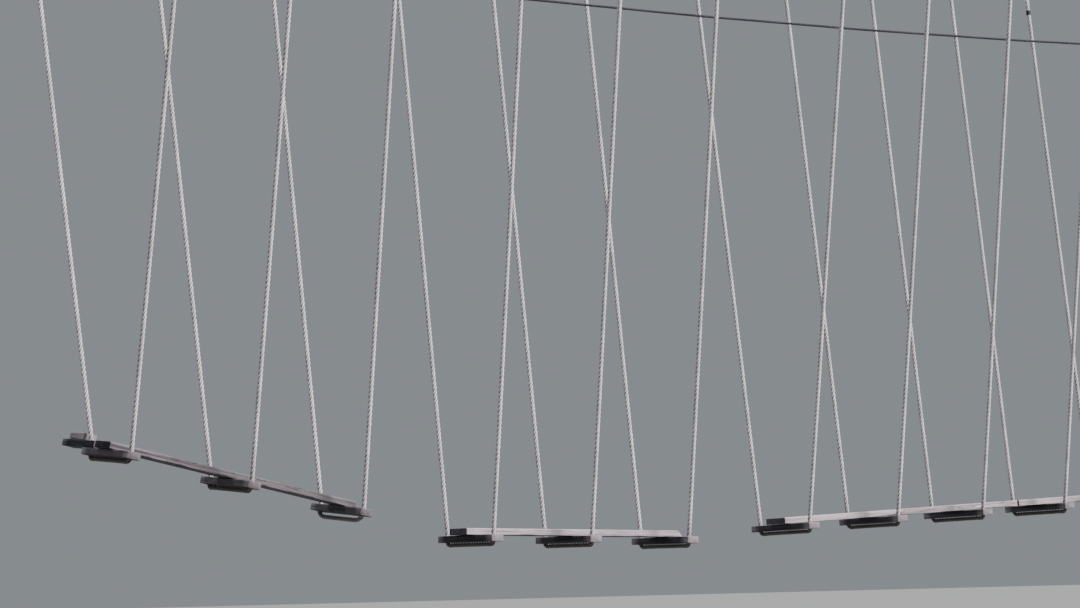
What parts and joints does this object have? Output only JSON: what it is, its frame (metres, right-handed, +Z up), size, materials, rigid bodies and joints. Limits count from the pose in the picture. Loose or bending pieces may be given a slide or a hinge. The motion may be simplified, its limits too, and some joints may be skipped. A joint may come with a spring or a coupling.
{
  "type": "rope suspension footbridge",
  "caption": "Hanging plank walk of a rope course: short board decks on crosspieces, each slung in rope loops from two overhead steel cables, with a middle safety cable.",
  "frame": {"origin": "centre line of the start bracket's back face, level with the middle of its crossarm", "axes": "+X along the walk from the start bracket to the end bracket, +Y to the far side, +Z up"},
  "size_m": [5.95, 1.76, 2.707],
  "materials": {
    "weathered_board": "bare softwood weathered silver grey, cracked along the grain",
    "laid_rope": "three-strand laid rope, off-white, stained brown under the boards",
    "steel_cable": "dull dark wire rope",
    "galvanised_steel": "hot-dip galvanised, matt with a faint spangle"
  },
  "bodies": {
    "anchors": {"main_cable_near": "steel_cable", "main_cable_far": "steel_cable", "safety_cable": "steel_cable", "bracket_start": "galvanised_steel", "bracket_end": "galvanised_steel", "ring_plate_start_near": "galvanised_steel", "ring_plate_start_far": "galvanised_steel", "ring_plate_start_middle": "galvanised_steel", "ring_plate_end_near": "galvanised_steel", "ring_plate_end_far": "galvanised_steel", "ring_plate_end_middle": "galvanised_steel"},
    "rope_1_1": {"rope_1_1": "laid_rope"},
    "rope_1_2": {"rope_1_2": "laid_rope"},
    "rope_1_3": {"rope_1_3": "laid_rope"},
    "deck_1": {"plank_1": "weathered_board", "crosspiece_1_1": "weathered_board", "crosspiece_1_2": "weathered_board", "crosspiece_1_3": "weathered_board", "end_splint": "weathered_board", "end_block": "weathered_board"},
    "rope_2_1": {"rope_2_1": "laid_rope"},
    "rope_2_2": {"rope_2_2": "laid_rope"},
    "rope_2_3": {"rope_2_3": "laid_rope"},
    "deck_2": {"plank_2": "weathered_board", "crosspiece_2_1": "weathered_board", "crosspiece_2_2": "weathered_board", "crosspiece_2_3": "weathered_board"},
    "rope_3_1": {"rope_3_1": "laid_rope"},
    "rope_3_2": {"rope_3_2": "laid_rope"},
    "rope_3_3": {"rope_3_3": "laid_rope"},
    "rope_4_1": {"rope_4_1": "laid_rope"},
    "rope_4_2": {"rope_4_2": "laid_rope"},
    "rope_4_3": {"rope_4_3": "laid_rope"},
    "deck_3": {"plank_3": "weathered_board", "crosspiece_3_1": "weathered_board", "crosspiece_3_2": "weathered_board", "crosspiece_3_3": "weathered_board", "plank_4": "weathered_board", "crosspiece_4_1": "weathered_board", "crosspiece_4_2": "weathered_board", "crosspiece_4_3": "weathered_board"}
  },
  "joints": [
    {"name": "swing_1_rope_1_1", "type": "hinge", "parent": "anchors", "child": "rope_1_1", "pos_m": [0.66262, 0, -0.11543], "axis": [0, 1, 0], "range_deg": [-4.5, 4.5]},
    {"name": "swing_1", "type": "hinge", "parent": "anchors", "child": "rope_1_2", "pos_m": [1.076, 0, -0.20503], "axis": [0, 1, 0], "range_deg": [-4.5, 4.5]},
    {"name": "swing_1_rope_1_3", "type": "hinge", "parent": "anchors", "child": "rope_1_3", "pos_m": [1.47667, 0, -0.29191], "axis": [0, 1, 0], "range_deg": [-4.5, 4.5]},
    {"name": "level_1", "type": "hinge", "parent": "rope_1_2", "child": "deck_1", "pos_m": [1.07356, 0, -2.38024], "axis": [0, 1, 0], "range_deg": [-4.5, 4.5]},
    {"name": "swing_2_rope_2_1", "type": "hinge", "parent": "anchors", "child": "rope_2_1", "pos_m": [1.96107, 0, -0.38893], "axis": [0, 1, 0], "range_deg": [-4.5, 4.5]},
    {"name": "swing_2", "type": "hinge", "parent": "anchors", "child": "rope_2_2", "pos_m": [2.35, 0, -0.39632], "axis": [0, 1, 0], "range_deg": [-4.5, 4.5]},
    {"name": "swing_2_rope_2_3", "type": "hinge", "parent": "anchors", "child": "rope_2_3", "pos_m": [2.74793, 0, -0.40388], "axis": [0, 1, 0], "range_deg": [-4.5, 4.5]},
    {"name": "level_2", "type": "hinge", "parent": "rope_2_2", "child": "deck_2", "pos_m": [2.34978, 0, -2.5715], "axis": [0, 1, 0], "range_deg": [-4.5, 4.5]},
    {"name": "swing_3_rope_3_1", "type": "hinge", "parent": "anchors", "child": "rope_3_1", "pos_m": [3.26954, 0, -0.36211], "axis": [0, 1, 0], "range_deg": [-4.5, 4.5]},
    {"name": "swing_3", "type": "hinge", "parent": "anchors", "child": "rope_3_2", "pos_m": [3.669, 0, -0.34132], "axis": [0, 1, 0], "range_deg": [-4.5, 4.5]},
    {"name": "swing_3_rope_3_3", "type": "hinge", "parent": "anchors", "child": "rope_3_3", "pos_m": [4.06846, 0, -0.32053], "axis": [0, 1, 0], "range_deg": [-4.5, 4.5]},
    {"name": "swing_3_rope_4_1", "type": "hinge", "parent": "anchors", "child": "rope_4_1", "pos_m": [4.46794, 0, -0.29977], "axis": [0, 1, 0], "range_deg": [-4.5, 4.5]},
    {"name": "swing_3_rope_4_2", "type": "hinge", "parent": "anchors", "child": "rope_4_2", "pos_m": [4.8674, 0, -0.279], "axis": [0, 1, 0], "range_deg": [-4.5, 4.5]},
    {"name": "swing_3_rope_4_3", "type": "hinge", "parent": "anchors", "child": "rope_4_3", "pos_m": [5.26686, 0, -0.25823], "axis": [0, 1, 0], "range_deg": [-4.5, 4.5]},
    {"name": "level_3", "type": "hinge", "parent": "rope_3_2", "child": "deck_3", "pos_m": [3.6696, 0, -2.51648], "axis": [0, 1, 0], "range_deg": [-4.5, 4.5]}
  ],
  "couplings": [
    {"joint": "swing_1_rope_1_1", "follows": "swing_1", "ratio": 1},
    {"joint": "swing_1_rope_1_3", "follows": "swing_1", "ratio": 1},
    {"joint": "level_1", "follows": "swing_1", "ratio": -1},
    {"joint": "swing_2_rope_2_1", "follows": "swing_2", "ratio": 1},
    {"joint": "swing_2_rope_2_3", "follows": "swing_2", "ratio": 1},
    {"joint": "level_2", "follows": "swing_2", "ratio": -1},
    {"joint": "swing_3_rope_3_1", "follows": "swing_3", "ratio": 1},
    {"joint": "swing_3_rope_3_3", "follows": "swing_3", "ratio": 1},
    {"joint": "swing_3_rope_4_1", "follows": "swing_3", "ratio": 1},
    {"joint": "swing_3_rope_4_2", "follows": "swing_3", "ratio": 1},
    {"joint": "swing_3_rope_4_3", "follows": "swing_3", "ratio": 1},
    {"joint": "level_3", "follows": "swing_3", "ratio": -1}
  ]
}
